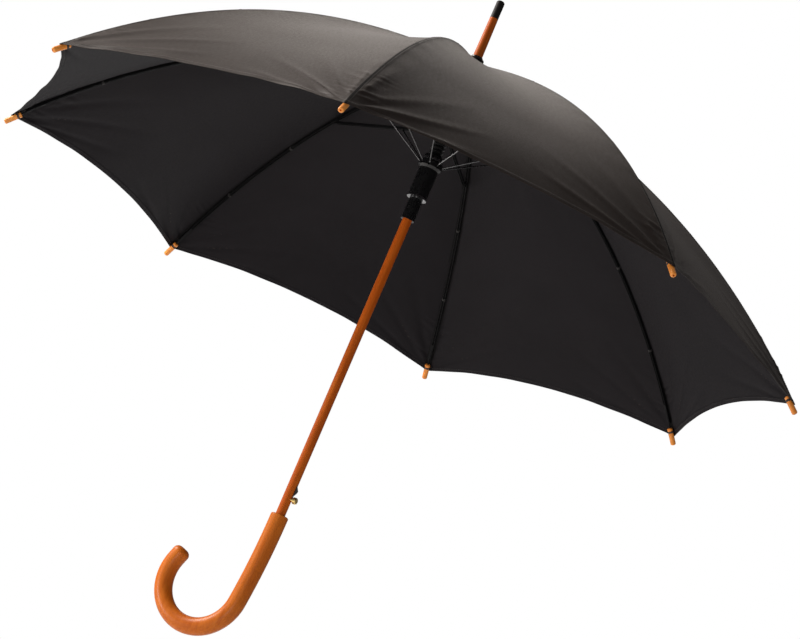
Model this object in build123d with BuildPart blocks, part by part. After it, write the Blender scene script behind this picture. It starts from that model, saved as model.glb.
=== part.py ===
"""Stick umbrella with a wooden shaft and crook handle, open. Millimetres; +Z runs up the shaft.

The origin is on the shaft's axis at the top end of the handle. The crook bends towards -X and
the push button faces +X. Eight ribs stand around the shaft; everything that repeats is drawn
once in the plane of azimuth 0 and turned about Z.
"""

import os
from math import atan2, cos, degrees, hypot, radians, sin, sqrt

from build123d import *

os.makedirs("parts", exist_ok=True)

# ---- driving dimensions ----
RIB_COUNT = 8
FIRST_RIB = 16.3  # azimuth of rib 1, degrees
RIB_STEP = 360 / RIB_COUNT
HALF_STEP = RIB_STEP / 2

CANOPY_TOP = 622.0  # height where the canopy's skin meets the shaft
CANOPY_R = 520.0  # rib tips
CANOPY_BOW = 104.0  # height scale of the dome
CANOPY_SHAPE = (0.0666, 0.7294, 1.0342, 0.8081)  # drop = bow x this cubic in r / CANOPY_R
HEM_MID_R = 462.5  # the hem is scalloped, so its middle is nearer the shaft
GORE_SAG = 1.02  # the cloth between two ribs hangs this much lower than a straight chord
CLOTH_T = 1.0
CLOTH_GAP = 0.25  # half the gap between neighbouring panels

SHAFT_R = 6.0
SHAFT_TIP_R = 5.3
SHAFT_END = 680.0
TENON_R = 4.0
TENON_LENGTH = 15.0
SHAFT_IN_HANDLE = 45.0
FERRULE_R = 5.2
FERRULE_LENGTH = 25.0
RUNNING = 0.3  # gap between the shaft and what slides on it

GRIP_R = 11.0
GRIP_LENGTH = 115.0  # along the grip, which bows a little before the crook proper
GRIP_TURN = 7.0
CROOK_R = 52.0
CROOK_TURN = 195.0
CROOK_END = 14.5

CROWN_PIN_R, CROWN_PIN_Z = 9.5, CANOPY_TOP - 12.0
RIB_JOINT_R, RIB_JOINT_Z = 247.0, CANOPY_TOP - 85.0
SLIDER_PIN_R, SLIDER_PIN_Z = 12.5, CANOPY_TOP - 102.0
RUNNER_PIN_R, RUNNER_PIN_Z = 13.5, CANOPY_TOP - 149.0
STRUT_JOINT = 82.0  # along the stretcher, from the slider's pin

RIB_W, RIB_TOP, RIB_DEPTH, SHEET_T = 3.6, 1.2, 3.6, 0.8
RIB_END_R = 506.0
STRETCHER_W, STRETCHER_H = 3.6, 3.6
CHEEK_T = 0.7
HUB_WIRE_R, HUB_EYE_R = 0.6, 0.85
JOINT_PIN_R, JOINT_HOLE_R = 0.8, 0.85
SMALL_PIN_R, SMALL_HOLE_R = 0.55, 0.6
STRUT_WIRE_R = 0.8
TIP_R, TIP_LENGTH, TIP_INSIDE, TIP_DEPTH = 3.5, 23.5, 13.0, 4.6
TIP_WIRE_R, TIP_WIRE_DEPTH = 1.1, 4.0

BUTTON_Z, BUTTON_R, BUTTON_CAP_R, BUTTON_CAP_IN, BUTTON_OUT = 22.0, 2.5, 4.2, 8.9, 13.4
CATCH_T = 1.8


def drop(r):
    """How far the canopy lies below its top at radius r, in a rib's plane."""
    u = r / CANOPY_R
    return CANOPY_BOW * sum(c * u**n for n, c in enumerate(CANOPY_SHAPE))


def slope(r):
    """Steepness of the canopy at radius r, as fall per unit of radius."""
    u = r / CANOPY_R
    return CANOPY_BOW / CANOPY_R * sum(n * c * u ** (n - 1) for n, c in enumerate(CANOPY_SHAPE) if n)


def under_rib(r, depth):
    """The point that lies a depth below the canopy's middle surface, square to it."""
    fall = slope(r)
    unit = sqrt(1 + fall**2)
    return r - depth * fall / unit, CANOPY_TOP - drop(r) - depth / unit


def under_gore(r, depth):
    """The same at the middle of a gore, half way between two ribs."""
    stretched = r / cos(radians(HALF_STEP))
    fall = slope(stretched) / cos(radians(HALF_STEP)) * GORE_SAG
    unit = sqrt(1 + fall**2)
    height = CANOPY_TOP - drop(stretched) * GORE_SAG
    return r - depth * fall / unit, height - depth / unit


def band(place, start, end, upper, lower, count=8):
    """Closed outline between two depths under the canopy, from one radius to another."""
    radii = [start + (end - start) * k / (count - 1) for k in range(count)]
    top = [place(r, upper) for r in radii]
    bottom = [place(r, lower) for r in radii]
    with BuildLine() as outline:
        Spline(*top)
        Line(top[-1], bottom[-1])
        Spline(*bottom)
        Line(bottom[0], top[0])
    return outline.line


def save(part, name):
    part.label = name
    export_step(part, f"parts/{name}.step")


def save_around(part, name):
    """Writes one copy of the part at each rib."""
    for k in range(RIB_COUNT):
        save(part.rotate(Axis.Z, FIRST_RIB + k * RIB_STEP), name.format(k + 1))


def across(x, z):
    """Plane square to a hinge pin of azimuth 0, with the pin through its origin."""
    return Plane(origin=(x, 0, z), x_dir=(1, 0, 0), z_dir=(0, -1, 0))


def along(x, z, angle):
    """The same plane turned so that its X axis points up from the horizontal by an angle."""
    tilt = radians(angle)
    return Plane(origin=(x, 0, z), x_dir=(cos(tilt), 0, sin(tilt)), z_dir=(0, -1, 0))


def polar(centre, r, angle):
    """The point at a distance and an angle in degrees from another."""
    return centre[0] + r * cos(radians(angle)), centre[1] + r * sin(radians(angle))


def facing(x, z):
    """Plane that looks along +X, for the push button and its pocket."""
    return Plane(origin=(x, 0, z), x_dir=(0, 1, 0), z_dir=(1, 0, 0))


# ---- shaft: turned wood, with a pocket for the latch and a tenon for the ferrule ----
POCKET_LOW, POCKET_HIGH, POCKET_FLOOR = BUTTON_Z + 1.0, 42.5, -1.8
with BuildPart() as shaft:
    with BuildSketch(Plane.XZ):
        with BuildLine():
            Polyline(
                (0, -SHAFT_IN_HANDLE),
                (SHAFT_R, -SHAFT_IN_HANDLE),
                (SHAFT_R, CANOPY_TOP),
                (SHAFT_TIP_R, SHAFT_END),
                (TENON_R, SHAFT_END),
                (TENON_R, SHAFT_END + TENON_LENGTH),
                (0, SHAFT_END + TENON_LENGTH),
                close=True,
            )
        make_face()
    revolve(axis=Axis.Z)
    with BuildSketch(facing(POCKET_FLOOR, BUTTON_Z)):
        Circle(BUTTON_R + RUNNING)
    extrude(amount=2 * SHAFT_R, mode=Mode.SUBTRACT)
    with BuildSketch(Plane.XY.offset(POCKET_LOW)):
        with Locations((POCKET_FLOOR, 0)):
            Rectangle(2 * SHAFT_R, CATCH_T + 2 * RUNNING, align=(Align.MIN, Align.CENTER))
    extrude(amount=POCKET_HIGH - POCKET_LOW, mode=Mode.SUBTRACT)
save(shaft.part, "shaft")

# ---- crook handle: one bent rod of wood, bored for the shaft ----
EDGE_ROUND, CROOK_ROUND = 3.0, 7.0
with BuildPart() as handle:
    bow_r, crook_stop = GRIP_LENGTH / radians(GRIP_TURN), -GRIP_TURN - CROOK_TURN
    bow_end = polar((-bow_r, 0), bow_r, -GRIP_TURN)
    crook_centre = polar(bow_end, -CROOK_R, -GRIP_TURN)
    crook_end = polar(crook_centre, CROOK_R, crook_stop)
    with BuildLine(Plane.XZ) as crook:
        CenterArc((-bow_r, 0), bow_r, 0, -GRIP_TURN)
        CenterArc(crook_centre, CROOK_R, -GRIP_TURN, -CROOK_TURN)
        Line(crook_end, polar(crook_end, CROOK_END, crook_stop - 90))
    with BuildSketch(Plane.XY):
        Circle(GRIP_R)
    sweep(path=crook.line)
    end_face = handle.faces().filter_by(GeomType.PLANE).sort_by(Axis.Z)[0]
    fillet(end_face.edges(), CROOK_ROUND)
    fillet(handle.faces().sort_by(Axis.Z)[-1].edges(), EDGE_ROUND / 2)
    with BuildSketch(Plane.XY):
        Circle(SHAFT_R)
    extrude(amount=-SHAFT_IN_HANDLE, mode=Mode.SUBTRACT)
save(handle.part, "handle_crook")

# ---- ferrule cap ----
with BuildPart() as ferrule:
    with BuildSketch(Plane.XY.offset(SHAFT_END)):
        Circle(FERRULE_R)
    extrude(amount=FERRULE_LENGTH)
    fillet(ferrule.faces().sort_by(Axis.Z)[-1].edges(), EDGE_ROUND)
    with BuildSketch(Plane.XY.offset(SHAFT_END)):
        Circle(TENON_R)
    extrude(amount=TENON_LENGTH, mode=Mode.SUBTRACT)
save(ferrule.part, "ferrule_cap")

# ---- collar that pins the canopy's top down on the shaft ----
COLLAR_R, COLLAR_LOW, COLLAR_HIGH, COLLAR_ROUND = 7.7, CANOPY_TOP - 6.5, CANOPY_TOP, 1.0
with BuildPart() as collar:
    with BuildSketch(Plane.XY.offset(COLLAR_LOW)):
        Circle(COLLAR_R)
        Circle(SHAFT_R, mode=Mode.SUBTRACT)
    extrude(amount=COLLAR_HIGH - COLLAR_LOW)
    top_edges = collar.edges().filter_by(GeomType.CIRCLE).group_by(Axis.Z)[-1]
    fillet(top_edges.sort_by(SortBy.RADIUS)[-1], COLLAR_ROUND)
save(collar.part, "top_collar")


SLOT_HALF = 4.0  # half the height of the cut that makes a hub's slots


def hub_slots(pin_z, floor_r, width, half_height):
    """One open slot for each rib, drawn at the bottom of the hub's flange."""
    with BuildSketch(Plane.XY.offset(pin_z - half_height)) as slots:
        with PolarLocations(0, RIB_COUNT, start_angle=FIRST_RIB):
            with Locations((floor_r, 0)):
                Rectangle(SHAFT_R * 3, width, align=(Align.MIN, Align.CENTER))
    return slots.sketch


def wire_section(pin_r, pin_z):
    """Section of the ring of wire that the ends of all the rods of one hub are strung on."""
    with BuildSketch(Plane.XZ) as wire:
        with Locations((pin_r, pin_z)):
            Circle(HUB_WIRE_R)
    return wire.sketch


def half_section(*points):
    """Half section of a ring or sleeve that is turned about the shaft."""
    with BuildSketch(Plane.XZ) as section:
        with BuildLine():
            Polyline(*points, close=True)
        make_face()
    return section.sketch


# ---- crown: the notched plastic hub that holds the rib roots ----
CROWN_R, CROWN_NECK_R, CROWN_SLOT, CROWN_TAIL = 12.0, 7.4, 4.2, 14.0
CROWN_UNDER, CROWN_BEVEL, CROWN_OVER, CROWN_CUT = 3.0, 1.0, 1.5, 0.4
with BuildPart() as crown:
    crown_section = half_section(
        (SHAFT_R, CROWN_PIN_Z - CROWN_TAIL),
        (CROWN_NECK_R, CROWN_PIN_Z - CROWN_TAIL),
        (CROWN_NECK_R, CROWN_PIN_Z - CROWN_UNDER),
        (CROWN_R, CROWN_PIN_Z - CROWN_UNDER + CROWN_BEVEL),
        (CROWN_R, CROWN_PIN_Z + CROWN_OVER),
        (CROWN_NECK_R, CROWN_PIN_Z + CROWN_OVER),
        (CROWN_NECK_R, COLLAR_LOW),
        (SHAFT_R, COLLAR_LOW),
    )
    revolve(crown_section, axis=Axis.Z)
    crown_slots = hub_slots(CROWN_PIN_Z, CROWN_NECK_R - CROWN_CUT, CROWN_SLOT, SLOT_HALF)
    extrude(crown_slots, amount=2 * SLOT_HALF, mode=Mode.SUBTRACT)
    revolve(wire_section(CROWN_PIN_R, CROWN_PIN_Z), axis=Axis.Z, mode=Mode.SUBTRACT)
save(crown.part, "crown_notch")

with BuildPart() as crown_wire:
    revolve(wire_section(CROWN_PIN_R, CROWN_PIN_Z), axis=Axis.Z)
save(crown_wire.part, "crown_wire")

# ---- upper slider: carries the long stretchers ----
SLIDER_BORE, SLIDER_TUBE_R, SLIDER_R, SLIDER_TAIL = SHAFT_R + RUNNING, 8.4, 14.5, 18.0
SLIDER_HALF, SLIDER_WALL = 3.0, 0.6
with BuildPart() as slider:
    slider_section = half_section(
        (SLIDER_BORE, SLIDER_PIN_Z - SLIDER_HALF),
        (SLIDER_R, SLIDER_PIN_Z - SLIDER_HALF),
        (SLIDER_R, SLIDER_PIN_Z + SLIDER_HALF),
        (SLIDER_TUBE_R, SLIDER_PIN_Z + SLIDER_HALF),
        (SLIDER_TUBE_R, SLIDER_PIN_Z + SLIDER_TAIL),
        (SLIDER_BORE, SLIDER_PIN_Z + SLIDER_TAIL),
    )
    revolve(slider_section, axis=Axis.Z)
    slider_slots = hub_slots(SLIDER_PIN_Z, SLIDER_TUBE_R + SLIDER_WALL, STRETCHER_W + 2 * RUNNING, SLOT_HALF)
    extrude(slider_slots, amount=2 * SLOT_HALF, mode=Mode.SUBTRACT)
    revolve(wire_section(SLIDER_PIN_R, SLIDER_PIN_Z), axis=Axis.Z)
save(slider.part, "upper_slider")

# ---- runner: the sleeve that the hand pulls down, which carries the short struts ----
RUNNER_LOW, SLEEVE_TOP, BODY_TOP, RUNNER_TOP = 397.0, 429.0, 466.0, 484.0
SLEEVE_R, BODY_R, FLANGE_R, RIM_R, SPRING_WELL_R, WELL_FLOOR = 8.5, 12.25, 15.2, 12.4, 9.6, 446.0
FLANGE_CONE, FLANGE_OVER, RUNNER_WALL, SLOT_STEP = 3.0, 3.0, 1.4, 2.5
with BuildPart() as runner:
    runner_section = half_section(
        (SLIDER_BORE, RUNNER_LOW),
        (SLEEVE_R, RUNNER_LOW),
        (SLEEVE_R, SLEEVE_TOP),
        (BODY_R, SLEEVE_TOP),
        (BODY_R, BODY_TOP),
        (FLANGE_R, BODY_TOP + FLANGE_CONE),
        (FLANGE_R, RUNNER_PIN_Z + FLANGE_OVER),
        (RIM_R, RUNNER_PIN_Z + FLANGE_OVER),
        (RIM_R, RUNNER_TOP),
        (SPRING_WELL_R, RUNNER_TOP),
        (SPRING_WELL_R, WELL_FLOOR),
        (SLIDER_BORE, WELL_FLOOR),
    )
    revolve(runner_section, axis=Axis.Z)
    slot_width, slot_half = 2 * STRUT_WIRE_R + 2 * RUNNING, RUNNER_PIN_Z - BODY_TOP - SLOT_STEP
    runner_slots = hub_slots(RUNNER_PIN_Z, SPRING_WELL_R + RUNNER_WALL, slot_width, slot_half)
    extrude(runner_slots, amount=2 * slot_half, mode=Mode.SUBTRACT)
    revolve(wire_section(RUNNER_PIN_R, RUNNER_PIN_Z), axis=Axis.Z)
save(runner.part, "runner")

RING_T, RING_PROUD, RING_LIFT = 2.6, 0.7, 5.0
with BuildPart() as rings:
    with BuildSketch(Plane.XY.offset(SLEEVE_TOP - RING_T)):
        Circle(BODY_R + RING_PROUD / 2)
        Circle(SLEEVE_R, mode=Mode.SUBTRACT)
    extrude(amount=RING_T)
    with BuildSketch(Plane.XY.offset(RUNNER_PIN_Z + RING_LIFT)):
        Circle(RIM_R + RING_PROUD)
        Circle(RIM_R, mode=Mode.SUBTRACT)
    extrude(amount=RING_T)
save(rings.part, "runner_rings")

# ---- opening spring, squeezed between the slider and the runner's well ----
SPRING_R, SPRING_WIRE_R, SPRING_TURNS, SPRING_SEAT = 7.9, 0.7, 14, 1.0
spring_low, spring_high = WELL_FLOOR + SPRING_SEAT, SLIDER_PIN_Z - SLIDER_HALF - SPRING_SEAT
with BuildPart() as spring:
    with BuildLine() as coil:
        spring_length = spring_high - spring_low
        Helix(spring_length / SPRING_TURNS, spring_length, SPRING_R, center=(0, 0, spring_low))
    with BuildSketch(Plane(origin=coil.line @ 0, z_dir=coil.line % 0)):
        Circle(SPRING_WIRE_R)
    sweep(path=coil.line)
save(spring.part, "opening_spring")

# ---- push button and the catch that it draws in ----
BUTTON_GAP, BUTTON_ROUND = 3.3, 1.8  # the gap behind the button lets it go in
with BuildPart() as button:
    with BuildSketch(facing(POCKET_FLOOR + BUTTON_GAP, BUTTON_Z)):
        Circle(BUTTON_R)
    extrude(amount=BUTTON_CAP_IN - POCKET_FLOOR - BUTTON_GAP)
    with BuildSketch(facing(BUTTON_CAP_IN, BUTTON_Z)):
        Circle(BUTTON_CAP_R)
    extrude(amount=BUTTON_OUT - BUTTON_CAP_IN)
    fillet(button.faces().sort_by(Axis.X)[-1].edges(), BUTTON_ROUND)
save(button.part, "push_button")

CATCH_BACK, CATCH_FRONT, CATCH_TOP = 1.6, 5.0, 41.5
CATCH_SLOPE_TOP, CATCH_NOSE = (8.8, 31.0), (9.6, 34.0)  # the runner rides up the slope and rests on the nose
with BuildPart() as catch:
    with BuildSketch(Plane.XZ):
        with BuildLine():
            Polyline(
                (CATCH_BACK, BUTTON_Z + BUTTON_R + RUNNING),
                (CATCH_FRONT, BUTTON_Z + BUTTON_R + RUNNING),
                CATCH_SLOPE_TOP,
                CATCH_NOSE,
                (CATCH_FRONT, CATCH_TOP),
                (CATCH_BACK, CATCH_TOP),
                close=True,
            )
        make_face()
    extrude(amount=CATCH_T / 2, both=True)
save(catch.part, "latch_catch")

# ---- ribs: fluted spring steel, bowed as the canopy bows them ----
ROOT_EYE_R, LUG_R, LUG_T, LUG_REACH = 1.8, 2.2, 1.2, 5.6
ROOT_START, FLUTE_START, FLUTE_END, WIRE_HELD = 0.6, 24.0, RIB_END_R - 18.0, 14.0
lug_tilt = degrees(atan2(slope(RIB_JOINT_R), 1))
wire_start, wire_end = under_rib(RIB_END_R - WIRE_HELD, TIP_WIRE_DEPTH), under_rib(CANOPY_R, TIP_WIRE_DEPTH)
with BuildPart() as rib:
    with BuildSketch(Plane.XZ):
        make_face(band(under_rib, CROWN_PIN_R + ROOT_START, RIB_END_R, RIB_TOP, RIB_TOP + RIB_DEPTH))
    extrude(amount=RIB_W / 2, both=True)
    with BuildSketch(Plane.XZ):
        make_face(band(under_rib, FLUTE_START, FLUTE_END, RIB_TOP + SHEET_T, RIB_TOP + RIB_DEPTH + SHEET_T))
    extrude(amount=RIB_W / 2 - SHEET_T, both=True, mode=Mode.SUBTRACT)
    with BuildSketch(across(CROWN_PIN_R, CROWN_PIN_Z)):
        Circle(ROOT_EYE_R)
    extrude(amount=RIB_W / 2, both=True)
    with BuildSketch(across(CROWN_PIN_R, CROWN_PIN_Z)):
        Circle(HUB_EYE_R)
    extrude(amount=RIB_W, both=True, mode=Mode.SUBTRACT)
    with BuildSketch(across(RIB_JOINT_R, RIB_JOINT_Z)):
        Circle(LUG_R)
        with Locations(Location((0, 0, 0), (0, 0, -lug_tilt))):
            Rectangle(2 * LUG_R, LUG_REACH, align=(Align.CENTER, Align.MIN))
    extrude(amount=LUG_T / 2, both=True)
    with BuildSketch(across(RIB_JOINT_R, RIB_JOINT_Z)):
        Circle(JOINT_PIN_R)
    extrude(amount=RIB_W / 2, both=True)
    wire_plane = Plane(
        origin=(wire_start[0], 0, wire_start[1]),
        z_dir=(wire_end[0] - wire_start[0], 0, wire_end[1] - wire_start[1]),
    )
    with BuildSketch(wire_plane):
        Circle(TIP_WIRE_R)
    extrude(amount=hypot(wire_end[0] - wire_start[0], wire_end[1] - wire_start[1]))
save_around(rib.part, "rib_{}")

# ---- rib tips: small turned wooden ends that the canopy's corners are sewn to ----
TIP_ROUND, TIP_BEVEL, TIP_BORE_R, TIP_BORE = 2.0, 1.0, 1.3, 3.0
tip_low = under_rib(CANOPY_R, TIP_DEPTH)
tip_dir = Vector(wire_end[0] - wire_start[0], 0, wire_end[1] - wire_start[1]).normalized()
tip_start = Vector(tip_low[0], 0, tip_low[1]) - tip_dir * TIP_INSIDE
with BuildPart() as tip:
    with BuildSketch(Plane(origin=tip_start, z_dir=tip_dir)):
        Circle(TIP_R)
    extrude(amount=TIP_LENGTH)
    tip_ends = tip.faces().filter_by(GeomType.PLANE).sort_by(Axis.X)
    fillet(tip_ends[-1].edges(), TIP_ROUND)
    chamfer(tip_ends[0].edges(), TIP_BEVEL)
    with BuildSketch(wire_plane):
        Circle(TIP_WIRE_R)
    extrude(amount=hypot(wire_end[0] - wire_start[0], wire_end[1] - wire_start[1]), mode=Mode.SUBTRACT)
    with BuildSketch(Plane(origin=tip_start + tip_dir * TIP_LENGTH, z_dir=tip_dir)):
        Circle(TIP_BORE_R)
    extrude(amount=-TIP_BORE, mode=Mode.SUBTRACT)
save_around(tip.part, "rib_tip_{}")

# ---- stretchers: fluted rods from the slider up to the ribs, open side down ----
stretcher_length = hypot(RIB_JOINT_R - SLIDER_PIN_R, RIB_JOINT_Z - SLIDER_PIN_Z)
stretcher_rise = degrees(atan2(RIB_JOINT_Z - SLIDER_PIN_Z, RIB_JOINT_R - SLIDER_PIN_R))
stretcher_plane = along(SLIDER_PIN_R, SLIDER_PIN_Z, stretcher_rise)
END_R, FORK, STRUT_PIN_DROP = 1.8, 10.0, 0.4
with BuildPart() as stretcher:
    with BuildSketch(stretcher_plane):
        with Locations((stretcher_length / 2, END_R - STRETCHER_H / 2)):
            Rectangle(stretcher_length, STRETCHER_H)
        with Locations((0, 0), (stretcher_length, 0)):
            Circle(END_R)
    extrude(amount=STRETCHER_W / 2, both=True)
    with BuildSketch(stretcher_plane):
        with Locations((stretcher_length / 2, END_R - SHEET_T)):
            Rectangle(stretcher_length + 6 * END_R, STRETCHER_H * 2, align=(Align.CENTER, Align.MAX))
        with Locations((stretcher_length, 0)):
            Rectangle(2 * FORK, 4 * END_R)
    extrude(amount=STRETCHER_W / 2 - CHEEK_T, both=True, mode=Mode.SUBTRACT)
    with BuildSketch(stretcher_plane):
        Circle(HUB_EYE_R)
        with Locations((stretcher_length, 0)):
            Circle(JOINT_HOLE_R)
    extrude(amount=STRETCHER_W, both=True, mode=Mode.SUBTRACT)
    with BuildSketch(stretcher_plane):
        with Locations((STRUT_JOINT, -STRUT_PIN_DROP)):
            Circle(SMALL_PIN_R)
    extrude(amount=STRETCHER_W / 2, both=True)
save_around(stretcher.part, "stretcher_{}")

# ---- struts: plated wires from the runner up to the stretchers ----
rise = radians(stretcher_rise)
strut_top_r = SLIDER_PIN_R + STRUT_JOINT * cos(rise) + STRUT_PIN_DROP * sin(rise)
strut_top_z = SLIDER_PIN_Z + STRUT_JOINT * sin(rise) - STRUT_PIN_DROP * cos(rise)
strut_length = hypot(strut_top_r - RUNNER_PIN_R, strut_top_z - RUNNER_PIN_Z)
strut_rise = degrees(atan2(strut_top_z - RUNNER_PIN_Z, strut_top_r - RUNNER_PIN_R))
strut_plane = along(RUNNER_PIN_R, RUNNER_PIN_Z, strut_rise)
TOP_EYE_R, LOW_EYE_R = 1.25, 1.6
with BuildPart() as strut:
    with BuildSketch(Plane(origin=strut_plane.origin, z_dir=strut_plane.x_dir)):
        Circle(STRUT_WIRE_R)
    extrude(amount=strut_length)
    with BuildSketch(strut_plane):
        Circle(LOW_EYE_R)
        with Locations((strut_length, 0)):
            Circle(TOP_EYE_R)
    extrude(amount=STRUT_WIRE_R, both=True)
    with BuildSketch(strut_plane):
        Circle(HUB_EYE_R)
        with Locations((strut_length, 0)):
            Circle(SMALL_HOLE_R)
    extrude(amount=2 * STRUT_WIRE_R, both=True, mode=Mode.SUBTRACT)
save_around(strut.part, "strut_{}")

# ---- canopy: each gore is cut along its middle, where it folds, so a rib has a panel on each side ----
SKIN_START = 10.2
for side, name in ((1, "left"), (-1, "right")):
    seam_plane = Plane(origin=(0, side * CLOTH_GAP, 0), x_dir=(1, 0, 0), z_dir=(0, -1, 0))
    fold = radians(side * HALF_STEP)
    fold_normal = Vector(sin(fold), -cos(fold), 0)
    fold_origin = fold_normal * (side * CLOTH_GAP)
    fold_plane = Plane(origin=fold_origin, x_dir=(cos(fold), sin(fold), 0), z_dir=fold_normal)
    with BuildPart() as panel:
        with BuildSketch(seam_plane):
            make_face(band(under_rib, SKIN_START, CANOPY_R, -CLOTH_T / 2, CLOTH_T / 2))
        with BuildSketch(fold_plane):
            make_face(band(under_gore, SKIN_START, HEM_MID_R, -CLOTH_T / 2, CLOTH_T / 2))
        loft(ruled=True)
    save_around(panel.part, "canopy_panel_{}_" + name)
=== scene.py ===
import math

import bmesh
import bpy
import numpy as np
from mathutils import Matrix, Vector


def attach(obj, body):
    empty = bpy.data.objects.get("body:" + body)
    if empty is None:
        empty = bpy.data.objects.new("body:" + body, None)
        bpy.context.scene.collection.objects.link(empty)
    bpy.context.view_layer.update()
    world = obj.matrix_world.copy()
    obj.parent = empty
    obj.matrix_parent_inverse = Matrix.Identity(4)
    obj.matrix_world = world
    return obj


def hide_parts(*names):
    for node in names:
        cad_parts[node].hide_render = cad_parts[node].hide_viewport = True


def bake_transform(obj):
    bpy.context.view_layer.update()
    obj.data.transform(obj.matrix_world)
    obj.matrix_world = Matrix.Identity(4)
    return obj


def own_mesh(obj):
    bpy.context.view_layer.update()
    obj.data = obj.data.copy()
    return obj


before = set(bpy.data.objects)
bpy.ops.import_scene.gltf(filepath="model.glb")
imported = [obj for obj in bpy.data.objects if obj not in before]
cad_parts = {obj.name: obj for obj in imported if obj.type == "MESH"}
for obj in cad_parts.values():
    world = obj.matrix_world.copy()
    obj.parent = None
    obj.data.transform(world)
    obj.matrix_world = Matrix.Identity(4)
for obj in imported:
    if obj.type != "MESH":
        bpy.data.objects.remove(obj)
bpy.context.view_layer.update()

# ---- the same driving dimensions as the CAD, in metres ----
RIB_COUNT = 8
FIRST_RIB = math.radians(16.3)
HALF_STEP = math.pi / RIB_COUNT
CANOPY_TOP, CANOPY_R, CANOPY_BOW = 0.622, 0.520, 0.104
CANOPY_SHAPE = (0.0666, 0.7294, 1.0342, 0.8081)  # the bow's terms in r / CANOPY_R, from constant to cube
HEM_MID_R = 0.4625 / math.cos(HALF_STEP)
SKIN_START = 0.0066  # the cloth begins here, just outside the shaft
SIDES = ((1, "left"), (-1, "right"))


# ---------------------------------------------------------------- node helpers

def new_material(name, **sockets):
    """A Principled material with constants set on its own sockets."""
    m = bpy.data.materials.new(name)
    m.use_nodes = True
    bsdf = m.node_tree.nodes["Principled BSDF"]
    for key, value in sockets.items():
        bsdf.inputs[key.replace("_", " ")].default_value = value
    return m, m.node_tree, bsdf


def node(tree, kind, inputs=(), **settings):
    """A node with its settings, and with each input linked to a socket or set to a value."""
    n = tree.nodes.new(kind)
    for k, v in settings.items():
        setattr(n, k, v)
    for key, value in inputs:
        if isinstance(value, bpy.types.NodeSocket):
            tree.links.new(value, n.inputs[key])
        else:
            n.inputs[key].default_value = value
    return n


def stretched(tree, vector, scale):
    """A vector scaled along each axis."""
    return node(tree, "ShaderNodeMapping", [("Vector", vector), ("Scale", scale)]).outputs[0]


def coords(tree, scale):
    """Object coordinates scaled along each axis."""
    tc = node(tree, "ShaderNodeTexCoord")
    return stretched(tree, tc.outputs["Object"], scale)


def noise(tree, vector, scale, detail=4.0, rough=0.55):
    inputs = [("Vector", vector), ("Scale", scale), ("Detail", detail), ("Roughness", rough)]
    return node(tree, "ShaderNodeTexNoise", inputs).outputs["Fac"]


def ramp(tree, fac, stops):
    """A colour ramp with the given stops of (place, colour)."""
    r = node(tree, "ShaderNodeValToRGB", [("Fac", fac)])
    e = r.color_ramp.elements
    while len(e) < len(stops):
        e.new(0.5)
    for el, (pos, col) in zip(e, stops):
        el.position = pos
        el.color = (*col, 1.0)
    return r.outputs["Color"]


def grey(v):
    return (v, v, v)


def bump(tree, bsdf, height, strength, distance):
    b = node(tree, "ShaderNodeBump", [("Height", height), ("Strength", strength), ("Distance", distance)])
    tree.links.new(b.outputs[0], bsdf.inputs["Normal"])


def math_node(tree, op, a, b=None):
    inputs = [(0, a)] + ([(1, b)] if b is not None else [])
    return node(tree, "ShaderNodeMath", inputs, operation=op).outputs[0]


def blended(tree, a, b, share):
    """The share of a, plus what is left of the share of b."""
    first = math_node(tree, "MULTIPLY", a, share)
    return math_node(tree, "ADD", first, math_node(tree, "MULTIPLY", b, round(1 - share, 6)))


# ---------------------------------------------------------------- kinds of material

SOFT_SCALE, FIBRE_SCALE = 9.0, 260.0
THREAD_PITCH = 0.0009
SLUB_SCALE = (30, 900, 1)
SLUB_HEIGHT, SOFT_HEIGHT = 0.8, 5.0


def cloth(name, dark, light, rough, sheen, sheen_rough, specular, tint):
    """Plain-weave cloth: its threads run along the UV map, which is in metres on each panel."""
    m, t, bsdf = new_material(
        name,
        Sheen_Weight=sheen,
        Sheen_Roughness=sheen_rough,
        Specular_IOR_Level=specular,
        Sheen_Tint=(*tint, 1.0),
    )
    uv = node(t, "ShaderNodeUVMap", uv_map="weave").outputs[0]
    soft = noise(t, uv, SOFT_SCALE, detail=3.0)
    fine = noise(t, uv, FIBRE_SCALE, detail=3.0, rough=0.7)
    mixed = blended(t, soft, fine, 0.65)
    t.links.new(ramp(t, mixed, [(0.35, dark), (0.68, light)]), bsdf.inputs["Base Color"])
    gloss = ramp(t, fine, [(0.3, grey(rough[0])), (0.75, grey(rough[1]))])
    t.links.new(gloss, bsdf.inputs["Roughness"])
    sep = node(t, "ShaderNodeSeparateXYZ", [("Vector", uv)])
    threads = []
    for axis in (0, 1):
        wave = math_node(t, "SINE", math_node(t, "MULTIPLY", sep.outputs[axis], 2 * math.pi / THREAD_PITCH))
        threads.append(math_node(t, "MULTIPLY", wave, 0.5))
    weave = math_node(t, "MULTIPLY", threads[0], threads[1])
    slub = noise(t, stretched(t, uv, SLUB_SCALE), 1.0, detail=3.0)
    height = math_node(t, "ADD", weave, math_node(t, "MULTIPLY", slub, SLUB_HEIGHT))
    height = math_node(t, "ADD", height, math_node(t, "MULTIPLY", soft, SOFT_HEIGHT))
    bump(t, bsdf, height, strength=0.22, distance=0.0004)
    return m


GRAIN_SCALE = (260.0, 260.0, 9.0)
PORE_SCALE = (1500.0, 1500.0, 60.0)
PATCH_SCALE = (22, 22, 14)
ROUGH_SPREAD, PORE_HEIGHT = 0.14, 0.3


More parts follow.
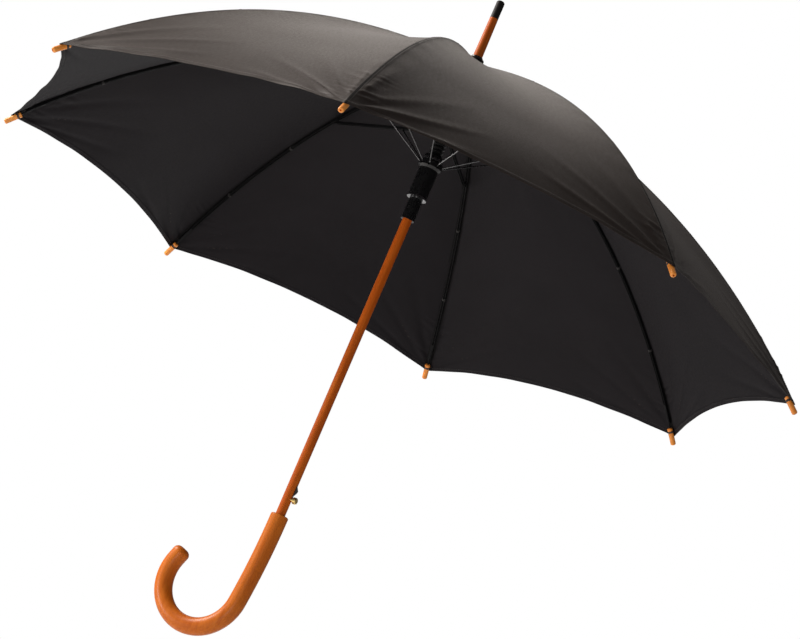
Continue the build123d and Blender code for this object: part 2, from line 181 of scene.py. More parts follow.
def wood(name, dark, mid, light, rough, coat, specular):
    """Stained hardwood under lacquer, with its grain along Z."""
    m, t, bsdf = new_material(
        name, Coat_Weight=coat, Coat_Roughness=0.20, Coat_IOR=1.5, Specular_IOR_Level=specular
    )
    grain = noise(t, coords(t, GRAIN_SCALE), 1.0, detail=6.0, rough=0.62)
    patch = noise(t, coords(t, PATCH_SCALE), 1.0, detail=2.0)
    pores = noise(t, coords(t, PORE_SCALE), 1.0, detail=2.0)
    mixed = blended(t, grain, patch, 0.6)
    colour = ramp(t, mixed, [(0.34, dark), (0.5, mid), (0.66, light)])
    shade = ramp(t, pores, [(0.30, grey(0.88)), (0.42, grey(1.0))])
    mix = node(t, "ShaderNodeMix", [("Factor", 1.0)], data_type="RGBA", blend_type="MULTIPLY")
    t.links.new(colour, mix.inputs[6])
    t.links.new(shade, mix.inputs[7])
    t.links.new(mix.outputs[2], bsdf.inputs["Base Color"])
    gloss = ramp(t, grain, [(0.3, grey(rough)), (0.7, grey(rough + ROUGH_SPREAD))])
    t.links.new(gloss, bsdf.inputs["Roughness"])
    height = math_node(t, "ADD", grain, math_node(t, "MULTIPLY", pores, PORE_HEIGHT))
    bump(t, bsdf, height, strength=0.08, distance=0.0002)
    return m


BROAD_SCALE, MARK_SCALE = 55.0, (700, 700, 90)


def hard(name, dark, light, rough, metallic=0.0, coat=0.0, scale=400.0, lumps=0.12, specular=0.5):
    """Moulded plastic, enamel or plated metal: a fine mottle, uneven gloss and tiny marks."""
    m, t, bsdf = new_material(
        name, Metallic=metallic, Coat_Weight=coat, Coat_Roughness=0.08, Specular_IOR_Level=specular
    )
    v = coords(t, (1, 1, 1))
    mottle = noise(t, v, scale, detail=5.0, rough=0.6)
    broad = noise(t, v, BROAD_SCALE, detail=2.0)
    marks = noise(t, coords(t, MARK_SCALE), 1.0, detail=2.0)
    t.links.new(ramp(t, mottle, [(0.3, dark), (0.7, light)]), bsdf.inputs["Base Color"])
    gloss = ramp(t, blended(t, broad, marks, 0.6), [(0.35, grey(rough[0])), (0.65, grey(rough[1]))])
    t.links.new(gloss, bsdf.inputs["Roughness"])
    bump(t, bsdf, math_node(t, "ADD", mottle, marks), strength=lumps, distance=0.0002)
    return m


# ---------------------------------------------------------------- materials

OUTER = cloth(
    "cloth_outer",
    dark=(0.0172, 0.0116, 0.0096),
    light=(0.0242, 0.0168, 0.0140),
    rough=(0.46, 0.60),
    sheen=0.045,
    sheen_rough=0.40,
    specular=0.21,
    tint=(1.0, 0.80, 0.70),
)
# the same cloth on the underside, matte and cooler, its colour darkened to about half the outer's as painted
# shade under the canopy
INNER_SHADED_CLOTH = cloth(
    "cloth_inner_painted_shade",
    dark=(0.0088, 0.0074, 0.0088),
    light=(0.0120, 0.0102, 0.0120),
    rough=(0.6, 0.75),
    sheen=0.006,
    sheen_rough=0.5,
    specular=0.11,
    tint=(0.95, 0.93, 1.0),
)
# near-black cloth for the strips beside each seam: painted shade of the seam and rib, not a different cloth
SEAM_SHADE_CLOTH = cloth(
    "cloth_painted_seam_shade",
    dark=(0.0035, 0.0032, 0.0034),
    light=(0.006, 0.0055, 0.006),
    rough=(0.65, 0.8),
    sheen=0.0,
    sheen_rough=0.5,
    specular=0.15,
    tint=(1.0, 1.0, 1.0),
)
SHAFT_WOOD = wood(
    "shaft_wood",
    dark=(0.38, 0.062, 0.004),
    mid=(0.52, 0.098, 0.007),
    light=(0.64, 0.150, 0.013),
    rough=0.40,
    coat=0.05,
    specular=0.12,
)
CROOK_WOOD = wood(
    "crook_wood",
    dark=(0.47, 0.098, 0.006),
    mid=(0.56, 0.134, 0.009),
    light=(0.63, 0.168, 0.013),
    rough=0.36,
    coat=0.12,
    specular=0.18,
)
TIP_WOOD = wood(
    "tip_wood",
    dark=(0.74, 0.220, 0.030),
    mid=(0.90, 0.310, 0.050),
    light=(0.96, 0.400, 0.085),
    rough=0.34,
    coat=0.25,
    specular=0.25,
)
THREAD = hard(
    "thread_black",
    dark=(0.03, 0.028, 0.028),
    light=(0.06, 0.055, 0.054),
    rough=(0.5, 0.7),
    scale=3000.0,
    lumps=0.4,
)
PLASTIC = hard(
    "black_plastic",
    dark=(0.0045, 0.0045, 0.005),
    light=(0.0065, 0.0065, 0.007),
    rough=(0.22, 0.34),
    coat=0.15,
    lumps=0.03,
    specular=0.4,
)
CAP = hard(
    "ferrule_black",
    dark=(0.006, 0.005, 0.004),
    light=(0.010, 0.0085, 0.007),
    rough=(0.50, 0.62),
    lumps=0.05,
    specular=0.2,
)
ENAMEL = hard(
    "black_enamel",
    dark=(0.0025, 0.0025, 0.003),
    light=(0.004, 0.004, 0.0045),
    rough=(0.50, 0.68),
    lumps=0.05,
    specular=0.14,
)
NICKEL = hard(
    "nickel_wire", dark=(0.10, 0.10, 0.103), light=(0.16, 0.16, 0.163), rough=(0.20, 0.34), metallic=1.0
)
STEEL = hard(
    "spring_steel", dark=grey(0.012), light=grey(0.02), rough=(0.40, 0.55), metallic=0.6, specular=0.2
)
CHROME = hard(
    "chrome_ring",
    dark=(0.42, 0.42, 0.43),
    light=(0.55, 0.55, 0.56),
    rough=(0.10, 0.20),
    metallic=1.0,
    lumps=0.03,
)
BRASS = hard(
    "brass_button", dark=(0.70, 0.47, 0.15), light=(0.85, 0.62, 0.25), rough=(0.14, 0.28), metallic=1.0
)


# ---------------------------------------------------------------- mesh helpers

ROUND_EDGE_DEG = 38  # edges of turned pieces that bend more than this stay sharp


def mesh_object(name, verts, faces, materials, smooth=True):
    me = bpy.data.meshes.new(name)
    me.from_pydata([tuple(v) for v in verts], [], faces)
    me.validate()
    me.polygons.foreach_set("use_smooth", [smooth] * len(me.polygons))
    ob = bpy.data.objects.new(name, me)
    bpy.context.scene.collection.objects.link(ob)
    for m in materials:
        me.materials.append(m)
    return ob


def finish_mesh(ob, sharp_deg=None):
    """Makes all faces look outwards, and sharpens the edges that turn more than an angle."""
    bm = bmesh.new()
    bm.from_mesh(ob.data)
    bmesh.ops.recalc_face_normals(bm, faces=bm.faces)
    if sharp_deg is not None:
        for e in bm.edges:
            if len(e.link_faces) == 2 and e.calc_face_angle(0.0) > math.radians(sharp_deg):
                e.smooth = False
    bm.to_mesh(ob.data)
    bm.free()
    return ob


def turn(points, azimuth):
    """Points turned about the shaft's axis."""
    c, s = math.cos(azimuth), math.sin(azimuth)
    p = np.asarray(points, float)
    return np.stack([c * p[..., 0] - s * p[..., 1], s * p[..., 0] + c * p[..., 1], p[..., 2]], -1)


def revolved(profile_at, segments):
    """Vertices and faces of closed profiles of (radius, height), one for each angle about Z."""
    verts, faces = [], []
    for k in range(segments):
        a = 2 * math.pi * k / segments
        profile = profile_at(a)
        verts += [(r * math.cos(a), r * math.sin(a), z) for r, z in profile]
    n = len(profile)
    for k in range(segments):
        ahead = (k + 1) % segments
        for j in range(n):
            above = (j + 1) % n
            faces.append((k * n + j, k * n + above, ahead * n + above, ahead * n + j))
    return verts, faces


def lathe(name, profile, material, segments=48):
    """A closed profile of (radius, height) turned about Z."""
    verts, faces = revolved(lambda angle: profile, segments)
    return finish_mesh(mesh_object(name, verts, faces, [material]), ROUND_EDGE_DEG)


def tube(path, radius, sides=8, closed=False):
    """Vertices and faces of a tube along points, with capped ends unless it is closed."""
    pts = [Vector(p) for p in path]
    n = len(pts)
    verts, faces = [], []
    up = Vector((0.31, 0.17, 0.93))  # any direction that no path follows
    for i, p in enumerate(pts):
        ahead = pts[(i + 1) % n] if closed or i < n - 1 else p
        back = pts[i - 1] if closed or i > 0 else p
        d = (ahead - back).normalized()
        side = up - d * up.dot(d)
        if side.length < 1e-4:
            side = d.orthogonal()
        side.normalize()
        up = side
        other = d.cross(side)
        r = radius[i] if hasattr(radius, "__len__") else radius
        for k in range(sides):
            a = 2 * math.pi * k / sides
            verts.append(p + side * (r * math.cos(a)) + other * (r * math.sin(a)))
    for i in range(n if closed else n - 1):
        j = (i + 1) % n
        for k in range(sides):
            q = (k + 1) % sides
            faces.append((i * sides + k, i * sides + q, j * sides + q, j * sides + k))
    if not closed:
        faces.append(tuple(range(sides)))
        faces.append(tuple((n - 1) * sides + k for k in range(sides)))
    return verts, faces


class Batch:
    """Collects many small solids into one mesh."""

    def __init__(self):
        self.verts, self.faces = [], []

    def add(self, verts, faces):
        base = len(self.verts)
        self.verts += [tuple(v) for v in verts]
        self.faces += [tuple(base + i for i in f) for f in faces]

    def make(self, name, material, sharp=None):
        return finish_mesh(mesh_object(name, self.verts, self.faces, [material]), sharp)


# ---------------------------------------------------------------- canopy surface

GORE_WIDTH = math.sin(HALF_STEP)  # half a gore's width, as a share of the radius
GORE_SAG = 0.02  # share of the bow by which mid-gore lies below the ribs
GORE_DIP = 0.010  # how much deeper mid-gore lies at the dip's peak
DIP_PEAK, DIP_POWER, DIP_FADE = 0.42, 1.5, 0.75  # the peak and the start of the fade, as shares of the radius


def drop(r):
    """How far the canopy lies below its top at radius r, in a rib's plane."""
    u = np.asarray(r, float) / CANOPY_R
    return CANOPY_BOW * sum(c * u**n for n, c in enumerate(CANOPY_SHAPE))


def smooth(x, lo, hi):
    t = np.clip((np.asarray(x, float) - lo) / (hi - lo), 0, 1)
    return t * t * (3 - 2 * t)


def hem_r(t):
    """Radius of the hem in a rib's measure, at a share t of the way from the seam to mid-gore."""
    return CANOPY_R + (HEM_MID_R - CANOPY_R) * (1 - (1 - t) ** 2)


def skin(r, t):
    """Middle surface of the cloth in the frame of azimuth 0, on the side of rising azimuth."""
    r, t = np.broadcast_arrays(np.asarray(r, float), np.asarray(t, float))
    reach = r * GORE_WIDTH
    x = r - reach * GORE_WIDTH * t
    y = reach * math.cos(HALF_STEP) * t
    u = r / HEM_MID_R
    rise = np.clip(u / DIP_PEAK, 0, None) ** DIP_POWER * np.exp(DIP_POWER * (1 - u / DIP_PEAK))
    dip = GORE_DIP * rise * (1 - smooth(u, DIP_FADE, 1.0))
    z = CANOPY_TOP - (drop(r) * GORE_SAG + dip) * (1 - (1 - t) ** 2) - drop(r)
    return np.stack([x, y, z], -1)


def crease(x, width):
    """Narrow ridges, one for each turn of x."""
    return np.exp(-((np.sin(x / 2) / width) ** 2))


def fade(x, length):
    return np.exp(-((x / length) ** 2))


# how far each kind of fold stands out from the cloth, and how far it reaches from the tip, rib, hem or seam
TIP_FOLD, TIP_REACH = 0.0010, 0.060
PULL_FOLD, PULL_REACH = 0.0018, 0.15
GATHER_FOLD, GATHER_REACH = 0.0018, 0.024
HEM_RIPPLE, HEM_REACH = 0.0005, 0.020
SEAM_PUCKER, SEAM_REACH = 0.0003, 0.012
SLACK_FOLD = 0.0010
# lengths that set how often the folds repeat
HEM_WAVE, SEAM_WAVE, SLACK_WAVE = 0.0105, 0.0065, 0.06
GATHER_WAVE, GATHER_WANDER, GATHER_BREAK = 0.0028, 0.016, 0.011
# the cloth is steep near the hem and the tips, so radii there are stretched by these to stand for distances
HEM_SLOPE, TIP_SLOPE = 1.8, 1.75


def folds(r, t, rng):
    """How far the cloth stands out from its smooth surface, on a grid of radii and shares of a half gore."""
    across = r * GORE_WIDTH * t
    inward = (CANOPY_R - r) * TIP_SLOPE
    far = np.hypot(inward, across)
    angle = np.arctan2(across, np.maximum(inward, 1e-6))
    held = smooth(across, 0.0, 0.007) * (1 - smooth(t, 0.6, 0.98))
    phase = rng.uniform(-1, 1, 8)

    # soft rays that leave the tip and stay close to it
    wave = np.sin(angle * 9.0 + phase[0] * 2) + 0.7 * np.sin(angle * 15.0 + phase[1] * 4)
    tip = TIP_FOLD * wave * fade(far, TIP_REACH) * smooth(far, 0.012, 0.034)

    # sharper rays that reach further
    rays = crease(angle * 16.0 + phase[2] * 3, 0.42)
    pull = PULL_FOLD * rays * fade(far, PULL_REACH) * smooth(far, 0.03, 0.07)

    # a small wave along the hem
    edge = (hem_r(t) - r) * HEM_SLOPE
    wave = np.sin(across / HEM_WAVE + phase[3] * 6)
    ripple = HEM_RIPPLE * wave * np.exp(-edge / HEM_REACH) * smooth(across, 0.02, 0.05)

    # short gathers beside the seam, a little way in from the tip
    near_tip = smooth(inward, 0.012, 0.04) * (1 - smooth(inward, 0.07, 0.15))
    bend = inward - 0.55 * across + 0.006 * np.sin(inward / GATHER_WANDER + phase[7] * 3)
    uneven = 0.55 + 0.45 * np.sin(inward / GATHER_BREAK + phase[6] * 6)
    lines = crease(bend / GATHER_WAVE + phase[4] * 6, 0.45)
    gather = GATHER_FOLD * uneven * lines * fade(across, GATHER_REACH) * near_tip

    # the seam's own puckers, and the slack of the cloth between the ribs
    pucker = np.sin(r / SEAM_WAVE + phase[5] * 6)
    seam_pull = SEAM_PUCKER * pucker * np.exp(-across / SEAM_REACH) * smooth(r, 0.03, 0.1)
    slack = SLACK_FOLD * np.sin(r / SLACK_WAVE + phase[6] * 6) * np.sin(math.pi * t) ** 2
    return (tip + pull + ripple + gather + seam_pull) * held + slack


# ---------------------------------------------------------------- half gores

ALONG, ACROSS = 140, 40  # rows and columns of the cloth's grid
ROW_BUNCHING = 0.62  # how strongly the rows crowd towards the hem
SEAM_COLUMNS = [0.0045, 0.016, 0.0185]  # extra columns that hold the seam's edge
HEM_WIDTH = 0.009
ROWS_END = HEM_WIDTH + 0.0012
HEM_ROWS = (HEM_WIDTH + 0.0004, HEM_WIDTH, HEM_WIDTH - 0.0005, 0.0060, 0.0030, 0.0006, 0.0)
STITCH_ROW = -4  # of HEM_ROWS, the one inside the hem that is stitched
CLOTH_HALF, HEM_EXTRA, SEAM_EXTRA = 0.00016, 0.00022, 0.00022  # half thicknesses
EDGE_WIDTH, EDGE_THINNING = 0.0003, 0.6
SEAM_EDGE, SEAM_THINNING = 0.0002, 0.00006
RIDGE_RISE, RIDGE_FALL = (SEAM_EDGE, 0.0012), (0.0026, 0.0034)  # where the seam's ridge begins and ends
SEAM_SHADE, INNER_SEAM_SHADE = 0.0013, 0.0058  # widths of the near-black painted shade beside the seam: outside, the seam's shadow; inside, the doubled seam allowance darkened as painted shade beside the rib
OUTER_SLOT, INNER_SLOT, SEAM_SHADE_SLOT = 0, 1, 2
DIFFERENCE = 1e-4


def grid_places():
    """Radii and shares across half a gore, crowded towards the seam, mid-gore and the hem."""
    k = np.linspace(0, 1, ACROSS)
    t = 0.5 * (1 - np.cos(math.pi * k))
    t = np.sort(np.concatenate([t, SEAM_COLUMNS]))
    k = np.linspace(0, 1, ALONG)
    shares = ROW_BUNCHING * np.sin(k * math.pi / 2) + round(1 - ROW_BUNCHING, 6) * k
    limit = hem_r(t)
    inner = limit - ROWS_END / HEM_SLOPE
    rows = [SKIN_START + (inner - SKIN_START) * share for share in shares]
    rows += [limit - back / HEM_SLOPE for back in HEM_ROWS]
    r = np.array(rows)
    return r, np.broadcast_to(t, r.shape), limit


def panel_grid(seed):
    """Positions, normals and half thickness on a grid over half a gore."""
    rng = np.random.default_rng(seed)
    r, tt, limit = grid_places()
    p = skin(r, tt)
    dr = skin(r + DIFFERENCE, tt) - skin(r - DIFFERENCE, tt)
    dt = skin(r, np.minimum(tt + DIFFERENCE, 1)) - skin(r, np.maximum(tt - DIFFERENCE, 0))
    normal = np.cross(dr, dt)
    middle = np.array((-math.sin(HALF_STEP), math.cos(HALF_STEP), 0.0))
    last = normal[:, -1]
    normal[:, -1] = last - np.outer(last @ middle, middle)  # mid-gore meets its mirror image flat
    normal /= np.linalg.norm(normal, axis=-1, keepdims=True)
    across = r * GORE_WIDTH * tt
    p = p + normal * folds(r, tt, rng)[..., None]
    edge = (limit - r) * HEM_SLOPE
    half = CLOTH_HALF + HEM_EXTRA * (edge < HEM_WIDTH - 1e-6) * (1 - EDGE_THINNING * (edge < EDGE_WIDTH))
    ridge = smooth(across, *RIDGE_RISE) * (1 - smooth(across, *RIDGE_FALL))
    half = half + SEAM_EXTRA * ridge - SEAM_THINNING * (across < SEAM_EDGE)
    return r, tt, p, normal, half


def mirror(points, side):
    return points * np.array((1, side, 1))


def grid_edge(rows, cols):
    """Indices of the grid's outline, in order."""
    loop = list(range(cols)) + [i * cols + cols - 1 for i in range(1, rows)]
    loop += [(rows - 1) * cols + j for j in range(cols - 2, -1, -1)]
    return loop + [i * cols for i in range(rows - 2, 0, -1)]


def weave_map(me, grid):
    """A UV map in metres, along the seam and across the half gore."""
    r, tt, p, _, _ = grid
    uv = me.uv_layers.new(name="weave")
    steps = np.linalg.norm(np.diff(p[:, 0], axis=0), axis=1)
    along = np.cumsum(np.concatenate([[0], steps]))
    u_all = np.broadcast_to(along[:, None], r.shape).ravel()
    v_all = (r * GORE_WIDTH * tt).ravel()
    flat = np.stack([u_all, v_all], -1)
    flat = np.concatenate([flat, flat])
    index = np.zeros(len(me.loops), int)
    me.loops.foreach_get("vertex_index", index)
    uv.data.foreach_set("uv", flat[index].ravel())


def make_panel(name, azimuth, side, seed):
    """One half gore: outer and inner faces and a closed edge, with its area and its grid."""
    grid = panel_grid(seed)
    r, tt, p, normal, half = grid
    rows, cols = r.shape
    outer = p + normal * half[..., None]
    inner = p - normal * half[..., None]
    verts = np.concatenate([outer.reshape(-1, 3), inner.reshape(-1, 3)])
    verts = turn(mirror(verts, side), azimuth)
    faces, slots = [], []
    size = rows * cols
    for i in range(rows - 1):
        for j in range(cols - 1):
            a = i * cols + j
            quad = (a, a + 1, a + cols + 1, a + cols)
            faces.append(quad)
            faces.append(tuple(size + v for v in reversed(quad)))
            from_seam = tt[i, j + 1] * r[i, j] * GORE_WIDTH
            # faces close to the seam get the painted seam shade, a narrow strip outside and a wider one
            # inside
            slots.append(SEAM_SHADE_SLOT if from_seam < SEAM_SHADE else OUTER_SLOT)
            slots.append(SEAM_SHADE_SLOT if from_seam < INNER_SEAM_SHADE else INNER_SLOT)
    loop = grid_edge(rows, cols)
    pairs = list(zip(loop, loop[1:] + loop[:1]))
    for a, b in pairs:
        faces.append((a, size + a, size + b, b))
        slots.append(OUTER_SLOT)
    ob = mesh_object(name, verts, faces, [OUTER, INNER_SHADED_CLOTH, SEAM_SHADE_CLOTH])
    me = ob.data
    me.polygons.foreach_set("material_index", slots)
    weave_map(me, grid)
    diagonals = (p[1:, 1:] - p[:-1, :-1], p[1:, :-1] - p[:-1, 1:])
    area = float(np.linalg.norm(np.cross(*diagonals), axis=-1).sum() / 2)
    rim_edges = {tuple(sorted(pair)) for pair in pairs}
    rim_edges |= {(a + size, b + size) for a, b in rim_edges}
    bm = bmesh.new()
    bm.from_mesh(me)
    bmesh.ops.recalc_face_normals(bm, faces=bm.faces)
    for e in bm.edges:
        if tuple(sorted(v.index for v in e.verts)) in rim_edges:
            e.smooth = False
    bm.to_mesh(me)
    bm.free()
    return ob, area, grid


# ---------------------------------------------------------------- stitching

STITCH_STEP, STITCH_GAP, STITCH_R = 0.0030, 0.0011, 0.00016
STITCH_MARGIN = (0.002, 0.001)  # what a row leaves bare at its start and at its end
SEAM_STITCH = 0.0021  # from the seam to its row of stitches
SEAM_ROWS = slice(4, -5)  # the grid's rows that the seam's stitches pass
NARROWEST = 0.004  # half a gore's width where those stitches begin


def dash(a, b, up, radius):
    """One stitch: a short thread that dips into the cloth at both ends."""
    a, b, up = Vector(a), Vector(b), Vector(up)
    sink = up * (radius * 1.1)
    path = [a - sink, a.lerp(b, 0.18) + up * radius * 0.35, a.lerp(b, 0.5) + up * radius * 0.6]
    path += [a.lerp(b, 0.82) + up * radius * 0.35, b - sink]
    return tube(path, [radius * 0.7, radius, radius * 1.05, radius, radius * 0.7], sides=6)


def at(place, lengths, values):
    """The row of values at a length along a line."""
    return np.array([np.interp(place, lengths, values[:, c]) for c in range(3)])


def stitch_line(batch, line, normals, lift, faces, azimuth, side):
    """A row of stitches along a line on the cloth's outer face, its inner face or both."""
    lengths = np.concatenate([[0], np.cumsum(np.linalg.norm(np.diff(line, axis=0), axis=1))])
    start, end = STITCH_MARGIN
    s = start
    while s + STITCH_STEP < lengths[-1] - end:
        ends = [at(q, lengths, line) for q in (s, s + STITCH_STEP - STITCH_GAP)]
        n = at(s, lengths, normals)
        n /= np.linalg.norm(n)
        for face in faces:
            a, b = (turn(mirror(e + n * lift * face, side), azimuth) for e in ends)
            batch.add(*dash(a, b, turn(mirror(n * face, side), azimuth), STITCH_R))
        s += STITCH_STEP


def stitch_rows(batch, grid, azimuth, side):
    """Hem stitching on both faces, and the row that holds the seam down beside the rib."""
    r, tt, p, normal, _ = grid
    hem = p[STITCH_ROW], normal[STITCH_ROW]
    stitch_line(batch, *hem, CLOTH_HALF + HEM_EXTRA, (1, -1), azimuth, side)
    seam, seam_n = [], []
    for across, places, normals in zip((r * GORE_WIDTH * tt)[SEAM_ROWS], p[SEAM_ROWS], normal[SEAM_ROWS]):
        if across[-1] >= NARROWEST:
            seam.append(at(SEAM_STITCH, across, places))
            seam_n.append(at(SEAM_STITCH, across, normals))
    stitch_line(batch, np.array(seam), np.array(seam_n), CLOTH_HALF + SEAM_EXTRA, (1,), azimuth, side)


# ---------------------------------------------------------------- canopy: sixteen half gores

FIRST_SEED, SEED_STEP = 100, 10

for k in range(RIB_COUNT):
    azimuth = FIRST_RIB + 2 * HALF_STEP * k
    for side, word in SIDES:
        tag = f"{k + 1}_{word}"
        seed = FIRST_SEED + SEED_STEP * k + (side > 0)
        ob, area, grid = make_panel(f"canopy_cloth_{tag}", azimuth, side, seed)
        batch = Batch()
        stitch_rows(batch, grid, azimuth, side)
        thread = batch.make(f"canopy_stitching_{tag}", THREAD)
        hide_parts(f"canopy_panel_{tag}")
        for piece in (ob, thread):
            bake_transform(piece)


# ---------------------------------------------------------------- CAD nodes that stay, with better materials

LOOKS = {
    "shaft": SHAFT_WOOD,
    "handle_crook": CROOK_WOOD,
    "ferrule_cap": CAP,
    "top_collar": PLASTIC,
    "crown_notch": PLASTIC,
    "crown_wire": NICKEL,
    "push_button": BRASS,
    "latch_catch": NICKEL,
    "upper_slider": PLASTIC,
    "runner": PLASTIC,
    "runner_rings": CHROME,
}
for n in range(1, RIB_COUNT + 1):
    LOOKS[f"rib_{n}"] = LOOKS[f"stretcher_{n}"] = ENAMEL
    LOOKS[f"strut_{n}"] = NICKEL
    LOOKS[f"rib_tip_{n}"] = TIP_WOOD
for name, material in LOOKS.items():
    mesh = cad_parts[name].data
    mesh.materials.clear()
    mesh.materials.append(material)


# ---------------------------------------------------------------- thread that ties the cloth to the ribs

TIE_RADII, TIE_REACH = (0.135, 0.330, 0.430), 0.002
TIE_STEPS = (-0.0011, 0.0, 0.0011)
TIE_DEPTH, TIE_WIDE, TIE_HIGH, TIE_THREAD = 0.0027, 0.0024, 0.0028, 0.00032
TIP_DEPTH, TIP_LOOP, TIP_THREAD, TIP_SPAN = 0.0046, 0.00375, 0.00030, 0.014
TIP_TURNS, TIP_FIRST_TURN, TIP_PITCH = 4, -0.0088, 0.0007


def rib_point(r, depth):
    """A point in a rib's plane, at a depth below the canopy's smooth surface."""
    fall = float((drop(r + DIFFERENCE) - drop(r - DIFFERENCE)) / (2 * DIFFERENCE))
    unit = math.hypot(1, fall)
    return np.array((r - depth * fall / unit, 0.0, CANOPY_TOP - float(drop(r)) - depth / unit))


def rib_direction(inner, outer):
    along = rib_point(outer, 0) - rib_point(inner, 0)
    return along / np.linalg.norm(along)


def ring_about(centre, along, wide, high, radius, sides=6, count=20):
    """A closed loop of thread about a rod: half widths wide and high across the rod's direction."""
    d = Vector(along).normalized()
    flat = Vector((0, 1, 0))
    up = d.cross(flat).normalized()
    path = []
    for i in range(count):
        a = 2 * math.pi * i / count
        path.append(Vector(centre) + flat * (wide * math.cos(a)) + up * (high * math.sin(a)))
    return tube(path, radius, sides, closed=True)


for k in range(RIB_COUNT):
    batch = Batch()
    for r in TIE_RADII:
        along = rib_direction(r - TIE_REACH, r + TIE_REACH)
        for step in TIE_STEPS:
            centre = rib_point(r, TIE_DEPTH) + along * step
            batch.add(*ring_about(centre, along, TIE_WIDE, TIE_HIGH, TIE_THREAD))
    along = rib_direction(CANOPY_R - TIP_SPAN, CANOPY_R)
    for step in range(TIP_TURNS):
        centre = rib_point(CANOPY_R, TIP_DEPTH) + along * (TIP_FIRST_TURN + step * TIP_PITCH)
        batch.add(*ring_about(centre, along, TIP_LOOP, TIP_LOOP, TIP_THREAD))
    ties = batch.make(f"rib_thread_{k + 1}", THREAD)
    ties.data.transform(Matrix.Rotation(FIRST_RIB + 2 * HALF_STEP * k, 4, "Z"))
    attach(ties, f"rib_{k + 1}")


# ---------------------------------------------------------------- top of the canopy

ROSETTE_SPOKES, PLEATS, PLEAT_HEIGHT = 64, 16, 0.00045


def rosette_profile(angle):
    pleat = PLEAT_HEIGHT * math.cos(PLEATS * angle)
    top = [(0.0072, 0.6226 + pleat), (0.0084, 0.6228 + pleat), (0.0098, 0.6222 + pleat)]
    return [(0.0064, 0.6206)] + top + [(0.0098, 0.6212), (0.0074, 0.6212)]


# the gathered top of the cloth, bound against the collar
gather = Batch()
gather.add(*revolved(rosette_profile, ROSETTE_SPOKES))
rosette = gather.make("canopy_top_gather", OUTER, sharp=50)
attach(rosette, "root")

# the ring that presses it down
ring_foot = [(0.0062, 0.6215), (0.0073, 0.6215), (0.0075, 0.6222)]
ring_head = [(0.0075, 0.6246), (0.0072, 0.6252), (0.0062, 0.6254)]
collar = lathe("canopy_top_ring", ring_foot + ring_head, PLASTIC)
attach(collar, "root")


# ---------------------------------------------------------------- opening spring, and a thin black tube inside it as painted shade on the shaft

SPRING_LOW, SPRING_HIGH, SPRING_R, SPRING_WIRE, SPRING_TURNS = 0.447, 0.516, 0.0079, 0.0011, 14
TURN_POINTS = 24
SHADE_TUBE_IN, SHADE_TUBE_OUT = 0.0061, 0.0065


def spring_path():
    path = []
    for i in range(SPRING_TURNS * TURN_POINTS + 1):
        share = i / (SPRING_TURNS * TURN_POINTS)
        a = 2 * math.pi * SPRING_TURNS * share
        height = SPRING_LOW + (SPRING_HIGH - SPRING_LOW) * share
        path.append((SPRING_R * math.cos(a), SPRING_R * math.sin(a), height))
    return path


coil = Batch()
coil.add(*tube(spring_path(), SPRING_WIRE))
spring = coil.make("opening_spring_coil", STEEL)
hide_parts("opening_spring")
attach(spring, "slider")
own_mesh(spring)

# painted shade: a thin black tube over the shaft inside the coil, where the canopy shades the shaft
painted_shade_wall = [(SHADE_TUBE_IN, SPRING_LOW), (SHADE_TUBE_OUT, SPRING_LOW)]
painted_shade_wall += [(SHADE_TUBE_OUT, SPRING_HIGH), (SHADE_TUBE_IN, SPRING_HIGH)]
painted_shade_tube = lathe("opening_spring_painted_shade", painted_shade_wall, PLASTIC)
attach(painted_shade_tube, "slider")
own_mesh(painted_shade_tube)


# ---------------------------------------------------------------- backdrop and floor

ROOM_LIGHT = 0.17  # what falls on the object from all round; the camera sees a white backdrop
world = bpy.data.worlds.new("studio")
bpy.context.scene.world = world
world.use_nodes = True
tree = world.node_tree
backdrop = tree.nodes["Background"]
backdrop.inputs["Color"].default_value = (1.0, 1.0, 1.0, 1.0)
backdrop.inputs["Strength"].default_value = 1.0
room = node(tree, "ShaderNodeBackground", [("Color", (1.0, 0.99, 0.98, 1.0)), ("Strength", ROOM_LIGHT)])
seen = node(tree, "ShaderNodeLightPath").outputs["Is Camera Ray"]
both = node(tree, "ShaderNodeMixShader", [(0, seen), (1, room.outputs[0]), (2, backdrop.outputs[0])])
tree.links.new(both.outputs[0], tree.nodes["World Output"].inputs[0])
bpy.context.scene.view_settings.view_transform = "Standard"

FLOOR_Z, FLOOR_R, FLOOR_SIDES = -0.80, 14.0, 64
floor_material, _, _ = new_material(
    "pale_floor",
    Base_Color=(0.85, 0.85, 0.85, 1.0),
    Roughness=0.9,
    Emission_Color=(1.0, 1.0, 1.0, 1.0),
    Emission_Strength=0.22,
)
floor_angles = np.linspace(0, 2 * math.pi, FLOOR_SIDES, False)
floor_ring = [(FLOOR_R * math.cos(a), FLOOR_R * math.sin(a), FLOOR_Z) for a in floor_angles]
floor = mesh_object("floor", floor_ring, [tuple(range(FLOOR_SIDES))], [floor_material], smooth=False)


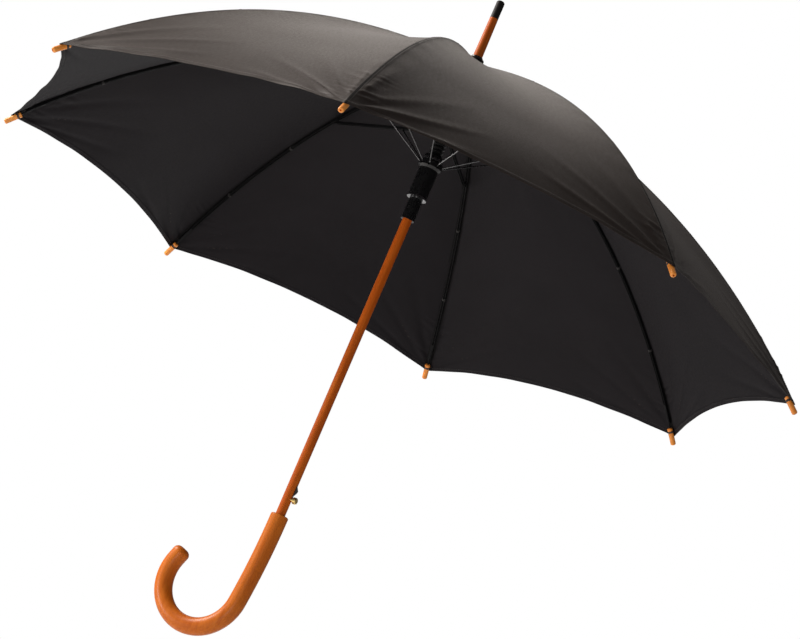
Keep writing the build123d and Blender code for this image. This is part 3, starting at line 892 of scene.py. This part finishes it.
# ---------------------------------------------------------------- lamps

SPOT_CONE_DEG = 50


def place_light(data, place, target, energy, colour):
    data.energy, data.color = energy, colour
    ob = bpy.data.objects.new(data.name, data)
    bpy.context.scene.collection.objects.link(ob)
    ob.location = place
    ob.rotation_mode = "QUATERNION"
    ob.rotation_quaternion = (Vector(target) - Vector(place)).to_track_quat("-Z", "Y")


def area_light(name, place, target, size, energy, colour):
    data = bpy.data.lights.new(name, "AREA")
    data.shape, data.size = "DISK", size
    place_light(data, place, target, energy, colour)


def spot_light(name, place, target, size, energy, colour):
    data = bpy.data.lights.new(name, "SPOT")
    data.spot_size, data.spot_blend, data.shadow_soft_size = math.radians(SPOT_CONE_DEG), 1.0, size
    place_light(data, place, target, energy, colour)


AIM = (0.0, 0.0, 0.45)
WARM, WARMISH, WHITE = (1.0, 0.93, 0.87), (1.0, 0.97, 0.94), (1.0, 1.0, 1.0)
area_light("key", (-2.04, -0.74, 1.46), AIM, size=1.4, energy=90.0, colour=WARM)
area_light("back", (-0.98, 1.18, 2.30), AIM, size=1.4, energy=13.0, colour=WARM)
spot_light("left_low", (-1.35, -1.0, -0.35), (-0.02, 0, 0.0), size=0.25, energy=46.0, colour=WARMISH)
spot_light("behind_low", (-0.4, 1.9, -0.3), (-0.3, -0.1, 0.5), size=0.4, energy=22.0, colour=WHITE)
spot_light("front_low", (0.5, -2.2, -0.4), (0, 0, 0.4), size=0.4, energy=34.0, colour=WARMISH)


# ---------------------------------------------------------------- camera, fitted to the photograph's angle

camera_data = bpy.data.cameras.new("camera")
camera_data.lens, camera_data.sensor_width = 127.73, 36.0
camera = bpy.data.objects.new("camera", camera_data)
bpy.context.scene.collection.objects.link(camera)
right = Vector((0.8568, 0.3459, 0.3825))
up = Vector((-0.2494, -0.3713, 0.8944))
back = Vector((0.4514, -0.8617, -0.2319))
placed = Matrix((right, up, back)).transposed().to_4x4()
placed.translation = Vector((1.5907, -2.9511, -0.5207))
camera.matrix_world = placed
bpy.context.scene.camera = camera
